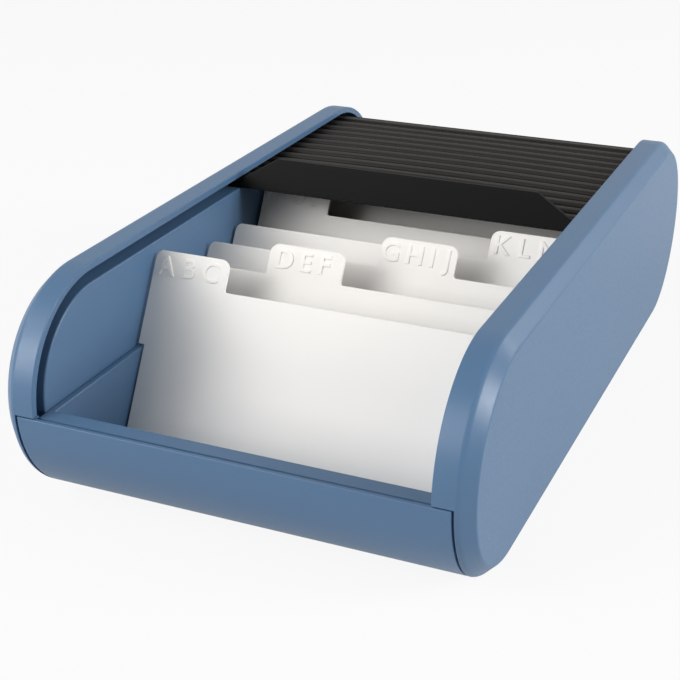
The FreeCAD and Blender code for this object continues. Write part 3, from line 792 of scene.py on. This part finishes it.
class CARDBOX_OT_grip(Operator):
    """Models the shutter's leading bar with its leaning grip fin and cut corners"""
    bl_idname = "cardbox.grip"
    bl_label = "Leading bar"

    def execute(self, context):
        settings = context.scene.card_box
        sizes = settings.shutter
        front = HANDLE_LOW.y
        top = HANDLE_LOW.z + sizes.bar_height
        half = CHEEK_LOW.x - sizes.fin_side
        back = front + sizes.fin_wall / math.cos(sizes.fin_lean)
        slope = math.tan(sizes.fin_lean)
        lean = sizes.bar_height * slope
        rise = sizes.fin_height - sizes.bar_height
        bar = add_block("shutter_leading_bar", HANDLE_LOW, (HANDLE_HIGH.x, HANDLE_HIGH.y, top))
        edit(bar)
        # Cuts where the fin and its corners end, and along the fin's back
        for across in (-half, sizes.corner_side - half, half - sizes.corner_side, half):
            slice_at((across, 0.0, 0.0), (1.0, 0.0, 0.0))
        slice_at((0.0, back, 0.0), (0.0, 1.0, 0.0))
        # The fin, which leans back from the bar's front edge
        select_where("EDGE", edges_along(0, [(front, top), (back, top)]))
        bpy.ops.transform.translate(value=(0.0, lean, 0.0))
        select_where("FACE", lambda face: looks(face, 2) and abs(face.calc_center_median().x) < half
                     and face.calc_center_median().y < back + lean)
        extrude((0.0, rise * slope, rise))
        # Its cut corners
        select_where("EDGE", lambda edge: all(near(abs(vertex.co.x), half) and near(vertex.co.z, top + rise)
                                              for vertex in edge.verts))
        bpy.ops.transform.translate(value=(0.0, -sizes.corner_rise * slope, -sizes.corner_rise))
        end_edit()
        soften(bar, sizes.edge, limit=BAR_SHARP)
        finish_piece(bar, "shutter", "black_shutter", grip_plastic(settings.finish), "shutter_handle")
        return {"FINISHED"}


class CARDBOX_OT_feet(Operator):
    """Finishes the four rubber feet, whose shapes the frame has"""
    bl_idname = "cardbox.feet"
    bl_label = "Feet"

    def execute(self, context):
        for name, piece in frame["nodes"].items():
            if name.startswith("foot_"):
                piece.data.materials.clear()
                piece.data.materials.append(foot_rubber(context.scene.card_box.finish))
        return {"FINISHED"}


def seen_directly(tree, mirrored):
    """1 for camera rays, and a share of that for the rays that a glossy or clear surface sends on."""
    path = add_node(tree, "ShaderNodeLightPath").outputs
    sent_on = add_node(tree, "ShaderNodeMath", {"operation": "MAXIMUM"}, {
        0: path["Is Glossy Ray"], 1: path["Is Transmission Ray"]})
    dimmed = add_node(tree, "ShaderNodeMath", {"operation": "MULTIPLY"}, {
        0: sent_on.outputs["Value"], 1: mirrored})
    seen = add_node(tree, "ShaderNodeMath", {"operation": "MAXIMUM"}, {
        0: path["Is Camera Ray"], 1: dimmed.outputs["Value"]})
    return seen.outputs["Value"]


def add_lamp(name, place, side, power):
    """A square softbox that is turned to the middle of the case."""
    bpy.ops.object.select_all(action="DESELECT")
    bpy.ops.object.light_add(type="AREA", location=place)
    lamp = bpy.context.object
    lamp.name = name
    lamp.data.shape = "SQUARE"
    lamp.data.size = side
    lamp.data.energy = power
    lamp.rotation_euler = (Vector((0.0, 0.0, MIDDLE)) - lamp.location).to_track_quat("-Z", "Y").to_euler()


class CARDBOX_OT_stage(Operator):
    """Sets up the white floor, the soft light and the camera"""
    bl_idname = "cardbox.stage"
    bl_label = "Stage, light and camera"

    def execute(self, context):
        self.add_floor()
        self.light_world(context.scene)
        for lamp in LAMPS:
            add_lamp(*lamp)
        self.add_camera(context.scene)
        context.scene.view_settings.view_transform = "Standard"
        return {"FINISHED"}

    def add_floor(self):
        """Paper floor that shows as white, and keeps a faint shadow of the box."""
        bpy.ops.object.select_all(action="DESELECT")
        bpy.ops.mesh.primitive_plane_add(size=FLOOR_SIZE)
        floor = bpy.context.object
        floor.name = "studio_floor"
        material = bpy.data.materials.new("white_background_paper")
        material.use_nodes = True
        tree = material.node_tree
        tree.nodes.clear()
        paper = add_node(tree, "ShaderNodeBsdfDiffuse", inputs={"Color": (*linear(FLOOR_PAPER), 1.0)})
        white = add_node(tree, "ShaderNodeEmission", inputs={"Color": WHITE, "Strength": 1.0})
        share = add_node(tree, "ShaderNodeMath", {"operation": "MULTIPLY"}, {
            0: seen_directly(tree, FLOOR_MIRRORED), 1: FLOOR_WHITE})
        mix = add_node(tree, "ShaderNodeMixShader", inputs={
            "Fac": share.outputs["Value"], 1: paper.outputs["BSDF"], 2: white.outputs["Emission"]})
        add_node(tree, "ShaderNodeOutputMaterial", inputs={"Surface": mix.outputs["Shader"]})
        floor.data.materials.append(material)

    def light_world(self, scene):
        """Even light from all round, seen as white."""
        world = bpy.data.worlds.new("white_studio")
        scene.world = world
        world.use_nodes = True
        tree = world.node_tree
        tree.nodes.clear()
        strength = add_node(tree, "ShaderNodeMapRange", inputs={
            "Value": seen_directly(tree, ROOM_MIRRORED), "To Min": ROOM_LIGHT, "To Max": 1.0})
        light = add_node(tree, "ShaderNodeBackground", inputs={
            "Color": WHITE, "Strength": strength.outputs["Result"]})
        add_node(tree, "ShaderNodeOutputWorld", inputs={"Surface": light.outputs["Background"]})

    def add_camera(self, scene):
        """The camera of a 680 by 680 picture, from the front right and above."""
        bpy.ops.object.select_all(action="DESELECT")
        bpy.ops.object.camera_add(location=CAMERA_PLACE)
        camera = bpy.context.object
        camera.name = "camera"
        yaw, pitch, roll = (math.radians(degrees) for degrees in CAMERA_TURNS)
        turn = Matrix.Rotation(yaw, 3, "Z") @ Matrix.Rotation(math.pi / 2 - pitch, 3, "X")
        camera.rotation_euler = (turn @ Matrix.Rotation(roll, 3, "Z")).to_euler()
        camera.data.sensor_fit = "HORIZONTAL"
        camera.data.sensor_width = CAMERA_SENSOR
        camera.data.lens = CAMERA_LENS
        camera.data.clip_start = CAMERA_NEAREST
        scene.camera = camera


class CARDBOX_PT_panel(Panel):
    """Sizes, colours and pieces of the card box"""
    bl_label = "Card Box"
    bl_idname = "CARDBOX_PT_panel"
    bl_space_type = "VIEW_3D"
    bl_region_type = "UI"
    bl_category = "Card Box"

    def draw(self, context):
        settings = context.scene.card_box
        for group in (settings.case, settings.divider, settings.shutter, settings.finish):
            box = self.layout.box()
            for name in group.__annotations__:
                box.prop(group, name)
        for operator in OPERATORS:
            self.layout.operator(operator.bl_idname)


GROUPS = (CaseSizes, DividerSizes, ShutterSizes, Finishes, CardBoxSettings)
OPERATORS = (
    CARDBOX_OT_stage,
    CARDBOX_OT_shell,
    CARDBOX_OT_tray,
    CARDBOX_OT_lower_run,
    CARDBOX_OT_cheeks,
    CARDBOX_OT_liners,
    CARDBOX_OT_dividers,
    CARDBOX_OT_slats,
    CARDBOX_OT_grip,
    CARDBOX_OT_feet,
)


def register():
    """Adds the classes and the settings."""
    for item in (*GROUPS, *OPERATORS, CARDBOX_PT_panel):
        bpy.utils.register_class(item)
    bpy.types.Scene.card_box = PointerProperty(type=CardBoxSettings)


def unregister():
    """Takes them away again."""
    del bpy.types.Scene.card_box
    for item in reversed((*GROUPS, *OPERATORS, CARDBOX_PT_panel)):
        bpy.utils.unregister_class(item)


def main():
    """Builds everything in order."""
    register()
    for operator in OPERATORS:
        group, name = operator.bl_idname.split(".")
        getattr(getattr(bpy.ops, group), name)()


if __name__ == "__main__":
    main()
